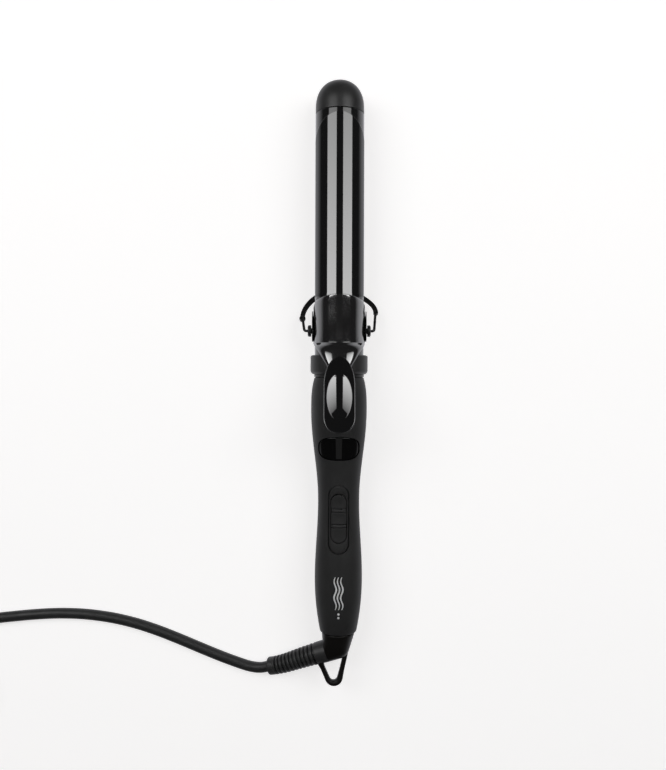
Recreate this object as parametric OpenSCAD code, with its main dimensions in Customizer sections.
// Curling iron with a spring clamp, a fold-out stand and a swivelling mains cord.
// It lies flat along Y: tip towards +Y, handle towards -Y, thumb lever on top, Z up.
// The origin is on the table, below the middle of the iron.

/* [Barrel] */
// Outer diameter of the heated barrel
barrel_d = 32; // [31:0.5:32]
// Wall of the barrel tube
barrel_wall = 1.2; // [0.8:0.1:1.4]
// Place of the barrel's front end along Y
barrel_front_y = 176.4; // [172:0.2:182]
// Length of the plastic tip cap in front of the barrel
tip_len = 22; // [17:0.1:24]

/* [Handle] */
// Radius of the collar between barrel and handle
collar_r = 18.7; // [18.5:0.1:19]
// Largest radius of the grip, near its front
grip_r_max = 18.2; // [17.8:0.05:18.3]
// Radius of the waist, under the keys
waist_r = 13.45; // [13.2:0.05:14]
// Radius of the second swelling, behind the keys
belly_r = 15.45; // [14.8:0.05:16]
// Wall of the handle shells
shell_wall = 2.2; // [1.8:0.1:2.4]

/* [Clamp] */
// Gap between the clamp plate and the barrel
clamp_gap = 0.3; // [0.2:0.05:0.4]
// Half width of the clamp plate
plate_half_w = 15.85; // [14:0.05:16]
// Width of the thumb rest
thumb_w = 19.3; // [17:0.1:20]
// Length of the thumb rest
thumb_len = 46.3; // [42:0.1:48]

/* [Stand] */
// Half width of the stand's foot
foot_half_w = 25.8; // [25:0.1:27]
// Width of the foot's band
foot_band = 3.3; // [3:0.1:3.6]
// Diameter of the stand's wire
stand_wire_d = 1.8; // [1.6:0.1:2]

/* [Cord] */
// Diameter of the mains cord
cord_d = 7; // [6:0.5:7]
// Length of the ribbed strain relief
relief_len = 40.5; // [38:0.1:41]
// Ribs on the strain relief
relief_ribs = 10; // [8:1:11]

/* [Hidden] */
$fn = 64;
eps = 0.01;

// the barrel's axis lies one collar radius above the table
axis_z = collar_r;
barrel_r = barrel_d / 2;
barrel_in_r = barrel_r - barrel_wall;
barrel_rear_y = 10;

// heater between two aluminium half-rounds
heater_size = [15.6, 100, 2.4];
heater_rear_y = 58;
spreader_y = [60, 160];
sensor_x = 11;

// collar and the grip behind it
collar_y = [6.9, 19.3];
collar_rear_round = 2.6;
collar_front_round = 1;
neck_y = [-4, 24];
neck_r = 12.9;
neck_flange_r = 15.4;
wire_bore_r = 8;
grip_front_y = 5.2;
grip_len = 165.7;
grip_rear_y = grip_front_y - grip_len;
shoulder_u = 21;
shoulder_drop = 2.25;
waist_u = 80.5;
belly_u = 131;
tail_drop = 3.6;

// display window and key panel in the grip's top
display_y = -40.6;
display_size = [26.6, 15.2];
panel_y = [-107.8, -64];
panel_w = 13.4;
key_row_y = [-100.6, -70];
key_w = 9.8;
key_split = [-79, -81.2, -88.8, -91];
key_fit = 0.3;
key_proud = 0.3;
bar_y = [-80.1, -89.9];
bar_size = [9.6, 1.6];

// circuit board, switches and screws inside the grip
board_top = 5.2;
board_thick = 1.6;
board_y = [-116, -24];
switch_top = 7.6;
stem_bottom = 8.7;
screw_y = [-17, -122, -140];
screw_r = 1.2;
screw_head_r = 2.4;

// clamp pivot and the stand's wire share one axis along X
pivot_y = 35.3;
skirt_x = [16.3, 17];
ear_x = [17.3, 18];
disc_x = [18.3, 20.1];
rivet_r = 1.9;
disc_r = 3.9;
running_gap = 0.05;

// the lever rises behind the dome so that it clears the collar when it is pressed
lever_slope = 0.27;
lever_thick = 1.5;
function lever_under(y) = 22.6 + lever_slope * (collar_y[1] - y);

// stand: the foot's plane hangs below the pivot
foot_tilt = 29.6;
foot_reach = 36.2;
foot_depth = 22.9;
foot_thick = 2.4;
wire_x = 23;

// swivel behind the grip
swivel_gap = 0.4;
shaft_r = 5;
elbow_c = [0, -171.3];
elbow_r = 7.45;
relief_yaw = 199.9;
relief_root = [-7.6, -174.1, 17.6];
relief_end = [-45.5, -188.3, 6.9];
relief_root_r = 7.25;
relief_end_r = 5.85;
loop_thick = 4.4;

// cord: the free stretch on the table, then six turns of a coil, then the plug's end
cord_r = cord_d / 2;
cord_route = [
    [-46, -188.5, 6.7], [-52, -190, 5.4], [-59, -189.6, 4.3], [-67, -187.4, 3.7], [-80, -182.7, 3.5],
    [-94, -177, 3.5], [-108, -171.2, 3.5], [-122, -165.8, 3.5], [-137, -161, 3.5],
    [-153, -157.4, 3.5], [-170, -155.2, 3.5], [-187, -154.6, 3.5], [-204, -155.4, 3.5],
    [-221, -157, 3.5], [-238, -158.8, 3.5], [-255, -159.8, 3.5], [-273, -160.1, 3.5]
];
coil_c = [-290, -205];
coil_mid_r = 38;
coil_top_r = 41.5;
tail_route = [
    [-331.5, -205.2, 16.6], [-332.3, -213, 17.2], [-334, -221, 17.4], [-336.5, -229, 16.2],
    [-339, -237, 13.6], [-341, -245, 10.6], [-342, -253, 8.3], [-342.3, -261, 7.1],
    [-342.3, -267, 6.9]
];
plug_at = [-342.3, -267, 6.9];
plug_relief_len = 14;
plug_len = 32;
pin_pitch = 18.6;
pin_len = 19;
pin_r = 2;
pin_core_r = 1.5;
sleeve_len = 9;
sleeve_r = 1.8;

function mix(a, b, t) = a + (b - a) * t;
function ease(t) = (1 - cos(180 * t)) / 2;

// radius of the grip at a distance u behind its front face
function grip_r(u) =
    u < shoulder_u ? grip_r_max - shoulder_drop * pow(1 - u / shoulder_u, 3) :
    u < waist_u ? mix(grip_r_max, waist_r, ease((u - shoulder_u) / (waist_u - shoulder_u))) :
    u < belly_u ? mix(waist_r, belly_r, ease((u - waist_u) / (belly_u - waist_u))) :
    belly_r - tail_drop * pow((u - belly_u) / (grip_len - belly_u), 2);

// a stadium's outline, from y0 to y1
function stadium(w, y0, y1) = concat(
    [for (a = [0:15:180]) [w / 2 * cos(a), y1 - w / 2 + w / 2 * sin(a)]],
    [for (a = [180:15:360]) [w / 2 * cos(a), y0 + w / 2 + w / 2 * sin(a)]]
);

// a rounded window's outline around its centre
function rounded_window(size, grow) = [for (a = [0:9:351]) [
    (size[0] / 2 + grow) * sign(cos(a)) * pow(abs(cos(a)), 0.72),
    (size[1] / 2 + grow) * sign(sin(a)) * pow(abs(sin(a)), 0.72)
]];

// a solid rod on the barrel's axis
module rod(r, y0, y1) {
    translate([0, y0, axis_z])
        rotate([-90, 0, 0])
            cylinder(r = r, h = y1 - y0);
}

module sleeve(r_out, r_in, y0, y1) {
    difference() {
        rod(r_out, y0, y1);
        rod(r_in, y0 - 1, y1 + 1);
    }
}

// a wire along Y at a place beside the axis
module wire(x, z, y0, y1, r = 0.8) {
    translate([x, y0, axis_z + z])
        rotate([-90, 0, 0])
            cylinder(r = r, h = y1 - y0);
}

// a rod across the iron, on the clamp's pivot
module cross_rod(r, x0, x1) {
    translate([x0, pivot_y, axis_z])
        rotate([0, 90, 0])
            cylinder(r = r, h = x1 - x0);
}

module both_sides() {
    children();
    mirror([1, 0, 0]) children();
}

// the grip's form, made smaller by inset, between two distances behind its front
module grip_form(inset, u0 = 0, u1 = grip_len, steps = 34) {
    translate([0, grip_front_y, axis_z])
        rotate([90, 0, 0])
            rotate_extrude()
                polygon(concat(
                    [[0, u0]],
                    [for (i = [0:steps]) let (u = mix(u0, u1, i / steps)) [grip_r(u) - inset, u]],
                    [[0, u1]]
                ));
}

// everything above the axis within an outline drawn in plan
module over(outline) {
    translate([0, 0, axis_z]) linear_extrude(40) polygon(outline);
}

// the skin of the grip around the key panel, between two insets
module panel_skin(outer, inner) {
    difference() {
        grip_form(outer, 64, 118, 14);
        grip_form(inner, 63, 119, 14);
    }
}

// a tube of n sides swept along points that lie mostly level
function unit(v) = v / norm(v);
function heading(p, i) = unit(p[min(i + 1, len(p) - 1)] - p[max(i - 1, 0)]);
function ring_at(p, i, r, n) = let (
    t = heading(p, i),
    side = unit(cross(t, [0, 0, 1])),
    up = cross(side, t)
) [for (k = [0:n - 1]) p[i] + r * (cos(360 * k / n) * side + sin(360 * k / n) * up)];

module sweep(points, r, n) {
    rings = [for (i = [0:len(points) - 1]) each ring_at(points, i, r, n)];
    last = (len(points) - 1) * n;
    walls = [for (i = [0:len(points) - 2]) for (k = [0:n - 1]) let (
        a = i * n + k,
        b = i * n + (k + 1) % n
    ) each [[a, b, a + n], [b, b + n, a + n]]];
    caps = [[for (k = [n - 1:-1:0]) k], [for (k = [0:n - 1]) last + k]];
    polyhedron(rings, concat(walls, caps), convexity = 8);
}

// ---- barrel ----

module barrel_tube() {
    color([0.08, 0.08, 0.09]) sleeve(barrel_r, barrel_in_r, barrel_rear_y, barrel_front_y);
}

module tip_cap() {
    base_r = barrel_r - 0.1;
    dome_r = barrel_r - 0.15;
    fullness = 0.87;
    color([0.2, 0.2, 0.2])
        difference() {
            union() {
                translate([0, barrel_front_y, axis_z])
                    rotate([-90, 0, 0])
                        rotate_extrude()
                            polygon(concat(
                                [[0, 0], [base_r, 0], [base_r, 1.5]],
                                [for (a = [0:7.5:90]) [
                                    dome_r * pow(cos(a), fullness),
                                    4 + (tip_len - 4) * pow(sin(a), fullness)
                                ]]
                            ));
                rod(barrel_in_r, barrel_front_y - 8, barrel_front_y + eps);
            }
            rod(barrel_in_r - 2.4, barrel_front_y - 9, barrel_front_y + 8);
        }
}

module tip_insulator() {
    color([0.85, 0.82, 0.75]) rod(barrel_in_r, barrel_front_y - 13, barrel_front_y - 10);
}

module heat_spreader(side) {
    difference() {
        intersection() {
            rod(barrel_in_r, spreader_y[0], spreader_y[1]);
            translate([-20, 50, side > 0 ? axis_z + 0.1 : axis_z - 20.1]) cube([40, 120, 20]);
        }
        translate([-heater_size[0] / 2 - 0.2, 50, axis_z - heater_size[2] / 2 - 0.1])
            cube([heater_size[0] + 0.4, 120, heater_size[2] + 0.2]);
        wire(sensor_x, 0, 50, 80, 1.6);
    }
}

module heat_spreader_upper() {
    color([0.75, 0.76, 0.78]) heat_spreader(1);
}

module heat_spreader_lower() {
    color([0.75, 0.76, 0.78]) heat_spreader(-1);
}

module ceramic_heater() {
    color([0.93, 0.91, 0.86])
        translate([-heater_size[0] / 2, heater_rear_y, axis_z - heater_size[2] / 2])
            cube(heater_size);
}

module temperature_sensor() {
    color([0.8, 0.35, 0.2]) wire(sensor_x, 0, 64, 78, 1.5);
}

module thermal_fuse() {
    color([0.8, 0.8, 0.82]) wire(0, 5, 45, 56, 2);
}

// two leads from the heater back to the circuit board
module heater_leads() {
    color([0.8, 0.75, 0.7])
        both_sides() {
            wire(5.5, 0, -31, heater_rear_y - 0.1);
            translate([5.5, -31, axis_z]) cylinder(r = 0.8, h = board_top - board_thick);
        }
}

module neck_insulator() {
    color([0.06, 0.06, 0.06])
        difference() {
            union() {
                rod(neck_r, neck_y[0], barrel_rear_y);
                rod(neck_flange_r, grip_front_y + 0.05, collar_y[0] - 0.05);
                rod(barrel_in_r, barrel_rear_y, neck_y[1]);
            }
            rod(wire_bore_r, neck_y[0] - 1, neck_y[1] + 1);
        }
}

module front_collar() {
    color([0.22, 0.22, 0.23])
        translate([0, collar_y[0], axis_z])
            rotate([-90, 0, 0])
                rotate_extrude() {
                    w = collar_y[1] - collar_y[0];
                    floor_t = barrel_rear_y - collar_y[0];
                    polygon(concat(
                        [[neck_r, 0]],
                        [for (a = [-90:15:0]) [
                            collar_r - collar_rear_round * (1 - cos(a)),
                            collar_rear_round * (1 + sin(a))
                        ]],
                        [for (a = [0:18:90]) [
                            collar_r - collar_front_round * (1 - cos(a)),
                            w - collar_front_round * (1 - sin(a))
                        ]],
                        [[barrel_r, w], [barrel_r, floor_t], [neck_r, floor_t]]
                    ));
                }
}

// sheet saddle under the barrel, with an ear on each side for the pivot
module hinge_bracket() {
    color([0.12, 0.12, 0.13])
        difference() {
            union() {
                difference() {
                    rod(barrel_r + 1, 26, 47);
                    translate([-30, 0, axis_z - 7]) cube([60, 100, 40]);
                }
                translate([-ear_x[1], 29, axis_z - 8.4]) cube([2 * ear_x[1], 17, 1.4]);
                both_sides()
                    translate([ear_x[0], 0, axis_z])
                        rotate([90, 0, 90])
                            linear_extrude(ear_x[1] - ear_x[0])
                                polygon([
                                    [29, -8.4], [46, -8.4], [48.4, -1], [48.4, 1.5],
                                    [40, 5], [32, 5], [28, 1.5], [28, -1]
                                ]);
            }
            rod(barrel_r, 20, 60);
            cross_rod(rivet_r, -30, 30);
        }
}

// hollow rivets that carry the clamp, with a disc outside that takes the stand's wire
module pivot_rivets() {
    color([0.1, 0.1, 0.1])
        both_sides()
            difference() {
                union() {
                    cross_rod(rivet_r, skirt_x[0], disc_x[0]);
                    cross_rod(disc_r, disc_x[0], disc_x[1]);
                }
                cross_rod(stand_wire_d / 2 + running_gap, skirt_x[0] + 0.7, 30);
            }
}

// ---- handle ----

// a screw post hanging from the upper shell, or standing on the lower one
module screw_post(y, side) {
    intersection() {
        grip_form(0.5);
        translate([0, y, side > 0 ? axis_z - 0.5 : axis_z - 20.8]) cylinder(r = 3.2, h = 20);
    }
}

module screw_hole(y, r) {
    translate([0, y, 0]) cylinder(r = r, h = axis_z + 9);
}

module shell_half(side) {
    difference() {
        union() {
            difference() {
                grip_form(0);
                grip_form(shell_wall, shell_wall, grip_len - shell_wall);
                translate([-50, -200, side > 0 ? axis_z - 100 : axis_z]) cube([100, 300, 100]);
            }
            for (y = screw_y) screw_post(y, side);
        }
        rod(neck_r + 0.05, -5, 10);
        rod(shaft_r + 0.5, grip_rear_y - 1, grip_rear_y + shell_wall + 1);
        for (y = screw_y) screw_hole(y, screw_r + 0.05);
    }
}

module handle_upper_shell() {
    color([0.16, 0.16, 0.17])
        difference() {
            shell_half(1);
            translate([0, display_y, 0]) over(rounded_window(display_size, 0));
            over(stadium(panel_w, panel_y[0], panel_y[1]));
        }
}

module handle_lower_shell() {
    color([0.16, 0.16, 0.17])
        difference() {
            shell_half(-1);
            for (y = screw_y)
                translate([0, y, axis_z - grip_r(grip_front_y - y) - 1])
                    cylinder(r = screw_head_r + 0.2, h = 2.6);
        }
}

module shell_screws() {
    color([0.55, 0.56, 0.58])
        for (y = screw_y) {
            head_z = axis_z - grip_r(grip_front_y - y) + 0.3;
            difference() {
                translate([0, y, head_z]) cylinder(r = screw_head_r, h = 1.3);
                for (turn = [0, 90])
                    translate([0, y, head_z])
                        rotate([0, 0, turn])
                            cube([0.6, 2.8, 1.2], center = true);
            }
            translate([0, y, head_z + 1.3]) cylinder(r = screw_r, h = axis_z + 7 - head_z - 1.3);
        }
}

module circuit_board() {
    color([0.1, 0.35, 0.2])
        translate([-7, board_y[0], axis_z + board_top - board_thick])
            cube([14, board_y[1] - board_y[0], board_thick]);
}

function key_centre(i) = [-74.5, -85, -95.8][i];

module tact_switches() {
    color([0.75, 0.75, 0.77])
        for (i = [0:2])
            translate([0, key_centre(i), axis_z + board_top]) {
                translate([-3, -3, 0]) cube([6, 6, 1.6]);
                cylinder(r = 1.7, h = switch_top - board_top);
            }
}

module display_module() {
    color([0.3, 0.45, 0.5])
        translate([-9, display_y - 5.5, axis_z + board_top]) cube([18, 11, 4.6]);
}

module display_lens() {
    color([0.03, 0.03, 0.03])
        intersection() {
            difference() {
                grip_form(0.25, 30, 62, 10);
                grip_form(shell_wall, 29, 63, 10);
            }
            translate([0, display_y, 0]) over(rounded_window(display_size, -0.15));
        }
}

module key_surround() {
    color([0.14, 0.14, 0.15])
        difference() {
            intersection() {
                panel_skin(0.15, shell_wall + 0.2);
                over(stadium(panel_w - 0.2, panel_y[0] + 0.1, panel_y[1] - 0.1));
            }
            over(stadium(key_w + 2 * key_fit, key_row_y[0] - key_fit, key_row_y[1] + key_fit));
        }
}

// light strips between the keys, standing on the board
module light_bars() {
    color([0.55, 0.55, 0.58])
        for (y = bar_y)
            intersection() {
                grip_form(0.1, 64, 118, 14);
                translate([-bar_size[0] / 2, y - bar_size[1] / 2, axis_z + board_top])
                    cube([bar_size[0], bar_size[1], 20]);
            }
}

// a key's cap follows the grip's surface, and its stem stands over a switch
module key(i, y0, y1) {
    color([0.15, 0.15, 0.16]) {
        intersection() {
            panel_skin(-key_proud, 2.6);
            over(stadium(key_w, key_row_y[0], key_row_y[1]));
            translate([-10, y0, 0]) cube([20, y1 - y0, 60]);
        }
        intersection() {
            grip_form(1, 64, 118, 14);
            translate([0, key_centre(i), axis_z + stem_bottom]) cylinder(r = 2, h = 10);
        }
    }
}

module plus_key() {
    key(0, key_split[0], key_row_y[1]);
}

module power_key() {
    key(1, key_split[2], key_split[1]);
}

module minus_key() {
    key(2, key_row_y[0], key_split[3]);
}

module swivel_bushing() {
    color([0.85, 0.85, 0.8])
        sleeve(9, shaft_r + running_gap, grip_rear_y + shell_wall, grip_rear_y + shell_wall + 3);
}

module slip_contacts() {
    color([0.85, 0.7, 0.35]) rod(6.5, -147, -144);
}

// two wires from the slip contacts to the circuit board
module supply_wires() {
    color([0.45, 0.3, 0.25])
        both_sides() {
            wire(4.6, 0, -144, -112);
            translate([4.6, -112.8, axis_z]) cylinder(r = 0.8, h = board_top - board_thick);
        }
}

// ---- clamp ----

module clamp_plate() {
    tangent_y = 157;
    nose_len = 16.3;
    tongue_w = 13.05;
    color([0.09, 0.09, 0.1])
        intersection() {
            sleeve(barrel_r + clamp_gap + 0.9, barrel_r + clamp_gap, 37, 180);
            over(concat(
                [
                    [-plate_half_w, 57], [-tongue_w, 56], [-tongue_w, 38],
                    [tongue_w, 38], [tongue_w, 56], [plate_half_w, 57]
                ],
                [for (a = [0:7.5:180])
                    [plate_half_w * cos(a), tangent_y + nose_len * sin(a)]]
            ));
        }
}

// sections of the dome and lever: y, half width, top, underside, lower edge, bow of the front
lever_sections = [
    [54.4, 15, 19, 17.5, 9, 2.9],
    [52.5, 16.3, 19.7, 17.6, 7.5, 2.6],
    [49, 16.9, 20.2, 17.9, 5, 1.8],
    [44, 17, 20.3, 18.1, 1, 0.8],
    [40, 17, 20.3, 18.2, -3.5, 0],
    [35.3, 17, 20.4, 18.4, -5, 0],
    [30.6, 17, 20.5, 18.9, -3.2, 0],
    [27.5, 17, 20.9, 19.4, 2.8, 0],
    [24.6, 15.4, 22.2, 20.7, 11.7, 0],
    [22, 13.9, 23.2, 21.7, 17.2, 0],
    [19.3, 12.4, 24.1, 22.6, 19.6, 0],
    [15.5, 10.2, 25.1, 23.6, 21.9, 0],
    [11.9, 7.75, 26.1, 24.6, 23.7, 0],
    [7, 6.5, 27.4, 25.9, 25.5, 0],
    [-20, 6.5, 34.7, 33.2, 32.8, 0]
];

// half an arch from x = -w to w, fuller than an ellipse
function arch(y, w, top, edge, bow, n) = [for (i = [0:n]) let (
    a = 180 - 180 * i / n,
    x = w * sign(cos(a)) * pow(abs(cos(a)), 0.8)
) [x, y + bow * (1 - pow(x / w, 2)), axis_z + edge + (top - edge) * pow(sin(a), 0.8)]];

module lever_shell(n = 20) {
    wall = skirt_x[1] - skirt_x[0];
    count = len(lever_sections);
    points = [for (s = lever_sections) each concat(
        arch(s[0], s[1], s[2], s[4], s[5], n),
        arch(s[0], s[1] - wall, s[3], s[4], s[5], n)
    )];
    row = 2 * (n + 1);
    outer = [for (s = [0:count - 2]) for (i = [0:n - 1]) let (a = s * row + i)
        each [[a, a + 1, a + row], [a + 1, a + row + 1, a + row]]];
    inner = [for (s = [0:count - 2]) for (i = [0:n - 1]) let (a = s * row + n + 1 + i)
        each [[a, a + row, a + 1], [a + 1, a + row, a + row + 1]]];
    edges = [for (s = [0:count - 2]) let (
        a = s * row,
        b = a + n + 1,
        c = a + n,
        d = a + 2 * n + 1
    ) each [[a, a + row, b], [b, a + row, b + row], [c, d, c + row], [d, d + row, c + row]]];
    front = [for (i = [0:n - 1]) let (b = i + n + 1)
        each [[i, b, i + 1], [i + 1, b, b + 1]]];
    rear = [for (i = [0:n - 1]) let (a = (count - 1) * row + i, b = a + n + 1)
        each [[a, a + 1, b], [a + 1, b + 1, b]]];
    polyhedron(points, concat(outer, inner, edges, front, rear), convexity = 6);
}

module clamp_lever() {
    color([0.1, 0.1, 0.11])
        difference() {
            lever_shell();
            cross_rod(rivet_r + running_gap, -30, 30);
        }
}

// plastic pad on the lever, with a dish for the thumb
module thumb_rest() {
    front_y = 17.5;
    thick = 3;
    w = thumb_w / 2;
    tilt = atan(lever_slope);
    run = thumb_len / cos(tilt);
    color([0.07, 0.07, 0.08])
        translate([0, front_y, axis_z + lever_under(front_y) + lever_thick + 0.02])
            rotate([-tilt, 0, 0])
                difference() {
                    linear_extrude(thick)
                        polygon(concat(
                            [for (a = [0:10:180]) [w * cos(a), -18 + 18 * sin(a)]],
                            [for (a = [180:10:360]) [w * cos(a), -run + w + w * sin(a)]]
                        ));
                    translate([0, -run / 2, thick + 0.6])
                        scale([8.1 / 5, 20 / 5, 2.4 / 5])
                            sphere(r = 5);
                }
}

// compression spring between the barrel and the lever, just in front of the collar
module clamp_spring() {
    coil_r = 1.9;
    spring_wire_r = 0.25;
    spring_y = 21.7;
    turns = 3;
    low = barrel_r + spring_wire_r + 0.2;
    high = 20.4;
    points = [for (i = [0:turns * 14]) let (a = 360 * i / 14, t = i / (turns * 14))
        [coil_r * cos(a), spring_y + coil_r * sin(a), axis_z + mix(low, high, t)]];
    color([0.7, 0.7, 0.72]) sweep(points, spring_wire_r, 8);
}

// ---- stand ----

// drawn in the foot's own plane: X across, Y away from the pivot
module foot_plane() {
    translate([0, pivot_y, axis_z]) rotate([-foot_tilt, 0, 0]) children();
}

module stand_foot() {
    arch_y = foot_reach - foot_depth;
    inner_w = foot_half_w - foot_band;
    inner_d = foot_depth - foot_band;
    color([0.08, 0.08, 0.08])
        difference() {
            foot_plane()
                union() {
                    linear_extrude(foot_thick, center = true)
                        polygon(concat(
                            [for (a = [0:6:180])
                                [foot_half_w * cos(a), arch_y + foot_depth * sin(a)]],
                            [for (a = [180:-6:0]) [inner_w * cos(a), arch_y + inner_d * sin(a)]]
                        ));
                    both_sides()
                        translate([foot_half_w - foot_band / 2, arch_y, 0])
                            cylinder(r = 1.9, h = foot_thick, center = true);
                }
            translate([-50, 0, -50]) cube([100, 100, 50]);
            rod(barrel_r + 0.35, 20, 100);
            foot_plane() both_sides() stand_leg(0);
        }
}

// the wire's leg, from its bend beside the pivot to the foot's end
module stand_leg(trim) {
    arch_y = foot_reach - foot_depth;
    end = [foot_half_w - foot_band / 2, arch_y];
    lean = atan2(end[0] - wire_x, end[1]);
    translate([wire_x, 0, 0])
        rotate([-90, 0, -lean])
            cylinder(r = stand_wire_d / 2, h = norm([end[0] - wire_x, end[1]]) - trim);
}

module stand_wire() {
    foot_plane() stand_leg(0);
    translate([wire_x, pivot_y, axis_z]) sphere(r = stand_wire_d / 2);
    cross_rod(stand_wire_d / 2, skirt_x[0] + 0.9, wire_x);
}

module stand_wire_left() {
    color([0.12, 0.12, 0.12]) mirror([1, 0, 0]) stand_wire();
}

module stand_wire_right() {
    color([0.12, 0.12, 0.12]) stand_wire();
}

// ---- swivel ----

module swivel_elbow() {
    front = grip_rear_y - swivel_gap;
    color([0.09, 0.08, 0.08]) {
        hull() {
            translate([0, front, axis_z]) rotate([90, 0, 0]) cylinder(r = 10.7, h = 1.5, $fn = 40);
            translate([0, front - 5, axis_z]) rotate([90, 0, 0]) cylinder(r = 9.4, h = 1, $fn = 40);
            translate([elbow_c[0], elbow_c[1], axis_z]) sphere(r = elbow_r, $fn = 32);
            translate(relief_root)
                rotate([0, 0, relief_yaw - 180])
                    rotate([0, 90 - 15.5, 0])
                        cylinder(r = relief_root_r, h = 0.6, $fn = 40);
        }
        difference() {
            rod(shaft_r, front - 1, -149);
            sleeve(shaft_r + 1, shaft_r - 0.8, -153.8, -152.6);
            rod(3, front - 0.5, -148);
        }
    }
}

// snap ring in the shaft's groove, inside the handle
module retaining_clip() {
    color([0.7, 0.7, 0.72])
        difference() {
            sleeve(7.4, shaft_r - 0.8, -153.7, -152.7);
            translate([-2, -160, axis_z + 2]) cube([4, 20, 10]);
        }
}

// loop behind the elbow to hang the iron by
module hang_loop() {
    outer_c = [-2.9, -191.9];
    inner_c = [-2.9, -189.6];
    color([0.08, 0.08, 0.08])
        difference() {
            translate([0, 0, axis_z - loop_thick / 2])
                linear_extrude(loop_thick)
                    difference() {
                        polygon(concat(
                            [[-14.7, -182.6], [-9.7, -183.4], [2.4, -179], [6.5, -176.6]],
                            [for (a = [15:-15:-195]) outer_c + 5.6 * [cos(a), sin(a)]]
                        ));
                        polygon(concat(
                            [[-9.5, -184.6], [1.6, -180.7]],
                            [for (a = [10:-20:-190]) inner_c + 3 * [cos(a), sin(a)]]
                        ));
                    }
            along_relief() cylinder(r = relief_root_r + 0.15, h = relief_len / 2);
        }
}

// turns a piece drawn along Z so that it runs down the strain relief's axis
module along_relief() {
    v = relief_end - relief_root;
    lift = asin(-v[2] / norm(v));
    translate(relief_root) rotate([0, 90 + lift, atan2(v[1], v[0])]) children();
}

// ribbed sleeve, from the elbow down to the table
module strain_relief() {
    root_len = 8;
    collar_len = 4.3;
    groove = 1.3;
    pitch = (relief_len - root_len - collar_len) / relief_ribs;
    color([0.2, 0.2, 0.21])
        along_relief()
            rotate_extrude()
                polygon(concat(
                    [[0, 0.6], [relief_root_r, 0.6], [relief_root_r - 0.2, root_len]],
                    [for (i = [0:relief_ribs - 1]) let (
                        z = root_len + pitch * i,
                        r = mix(relief_root_r - 0.2, relief_end_r, (i + 0.5) / relief_ribs)
                    ) each [
                        [r - groove, z + 0.02], [r - groove, z + pitch * 0.35],
                        [r, z + pitch * 0.45], [r, z + pitch * 0.98]
                    ]],
                    [
                        [relief_end_r - 1, relief_len - collar_len],
                        [relief_end_r, relief_len - collar_len + 0.4],
                        [relief_end_r, relief_len - 0.5],
                        [relief_end_r - 0.5, relief_len],
                        [0, relief_len]
                    ]
                ));
}

// ---- cord ----

module cord_run() {
    color([0.2, 0.2, 0.2]) sweep(cord_route, cord_r, 12);
}

module tie_shape() {
    inner = coil_mid_r - 1.5 * cord_d;
    outer = coil_mid_r + 1.5 * cord_d;
    height = 2 * cord_d;
    band = 0.9;
    translate([coil_c[0] - 6, coil_c[1], 0])
        difference() {
            translate([0, -outer - band, 0]) cube([12, outer - inner + 2 * band, height + band]);
            translate([-1, -outer, band]) cube([14, outer - inner, height - band]);
        }
}

// the coil's outer shape: two layers of three turns, and half a turn on top
module cord_coil() {
    w = 1.5 * cord_d;
    h = 2 * cord_d;
    color([0.2, 0.2, 0.2])
        difference() {
            translate([coil_c[0], coil_c[1], 0]) {
                rotate_extrude()
                    polygon([
                        [coil_mid_r - w, 1], [coil_mid_r - w + 1, 0],
                        [coil_mid_r + w - 1, 0], [coil_mid_r + w, 1],
                        [coil_mid_r + w, h - 1], [coil_mid_r + w - 1, h],
                        [coil_mid_r - w + 1, h], [coil_mid_r - w, h - 1]
                    ]);
                rotate([0, 0, 10])
                    rotate_extrude(angle = 170)
                        polygon([
                            [coil_top_r - cord_r, h - 0.5], [coil_top_r + cord_r, h - 0.5],
                            [coil_top_r + cord_r - 1, h + 6], [coil_top_r - cord_r + 1, h + 6]
                        ]);
            }
            tie_shape();
        }
}

module cord_tail() {
    color([0.2, 0.2, 0.2]) sweep(tail_route, cord_r, 12);
}

module cord_tie() {
    color([0.12, 0.12, 0.12]) tie_shape();
}

module plug_relief() {
    color([0.18, 0.18, 0.18])
        translate(plug_at)
            rotate([90, 0, 0])
                rotate_extrude()
                    polygon([[0, 0], [4.3, 0], [5.6, plug_relief_len], [0, plug_relief_len]]);
}

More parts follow.
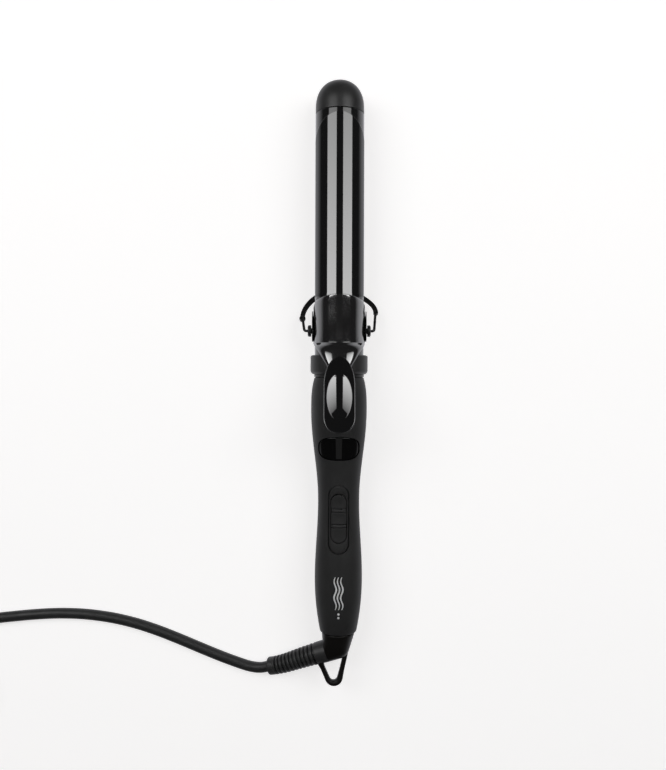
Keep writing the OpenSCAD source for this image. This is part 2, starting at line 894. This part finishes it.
// flat two-pin plug, lying with both pins level
module plug_body() {
    front = plug_relief_len + plug_len;
    color([0.18, 0.18, 0.18])
        translate(plug_at)
            rotate([0, 0, 180])
                difference() {
                    intersection() {
                        translate([0, 0, -plug_at[2]])
                            linear_extrude(2 * plug_at[2])
                                polygon([
                                    [-7, plug_relief_len], [7, plug_relief_len],
                                    [17.6, front - 12], [17.6, front],
                                    [-17.6, front], [-17.6, front - 12]
                                ]);
                        translate([0, front + 1, 0])
                            rotate([90, 0, 0])
                                linear_extrude(plug_len + 2)
                                    polygon([
                                        [17.7, -3], [13.5, -6.9], [-13.5, -6.9], [-17.7, -3],
                                        [-17.7, 3], [-13.5, 6.9], [13.5, 6.9], [17.7, 3]
                                    ]);
                    }
                    for (side = [-1, 1]) plug_bore(side, pin_core_r, front - 8);
                }
}

// a hole or core on a pin's axis, drawn in the plug's turned frame
module plug_bore(side, r, y) {
    translate([side * pin_pitch / 2, y, 0])
        rotate([-90, 0, 0])
            cylinder(r = r, h = plug_relief_len + plug_len + pin_len - 2 - y);
}

module pin_sleeves() {
    front = plug_relief_len + plug_len;
    color([0.1, 0.1, 0.1])
        translate(plug_at)
            rotate([0, 0, 180])
                for (side = [-1, 1])
                    translate([side * pin_pitch / 2, front, 0])
                        rotate([-90, 0, 0])
                            difference() {
                                cylinder(r = sleeve_r, h = sleeve_len);
                                translate([0, 0, -1]) cylinder(r = pin_core_r, h = sleeve_len + 2);
                            }
}

module plug_pins() {
    front = plug_relief_len + plug_len;
    color([0.8, 0.8, 0.82])
        translate(plug_at)
            rotate([0, 0, 180])
                for (side = [-1, 1]) {
                    plug_bore(side, pin_core_r, front - 8);
                    translate([side * pin_pitch / 2, front + sleeve_len, 0])
                        rotate([-90, 0, 0])
                            cylinder(r = pin_r, h = pin_len - sleeve_len - pin_r);
                    translate([side * pin_pitch / 2, front + pin_len - pin_r, 0]) sphere(r = pin_r);
                }
}

barrel_tube();
tip_cap();
tip_insulator();
heat_spreader_upper();
heat_spreader_lower();
ceramic_heater();
temperature_sensor();
thermal_fuse();
heater_leads();
neck_insulator();
front_collar();
hinge_bracket();
pivot_rivets();
handle_upper_shell();
handle_lower_shell();
shell_screws();
circuit_board();
tact_switches();
display_module();
display_lens();
key_surround();
light_bars();
swivel_bushing();
slip_contacts();
supply_wires();
clamp_plate();
clamp_lever();
thumb_rest();
clamp_spring();
stand_foot();
stand_wire_left();
stand_wire_right();
plus_key();
power_key();
minus_key();
swivel_elbow();
retaining_clip();
hang_loop();
strain_relief();
cord_run();
cord_coil();
cord_tail();
cord_tie();
plug_relief();
plug_body();
pin_sleeves();
plug_pins();
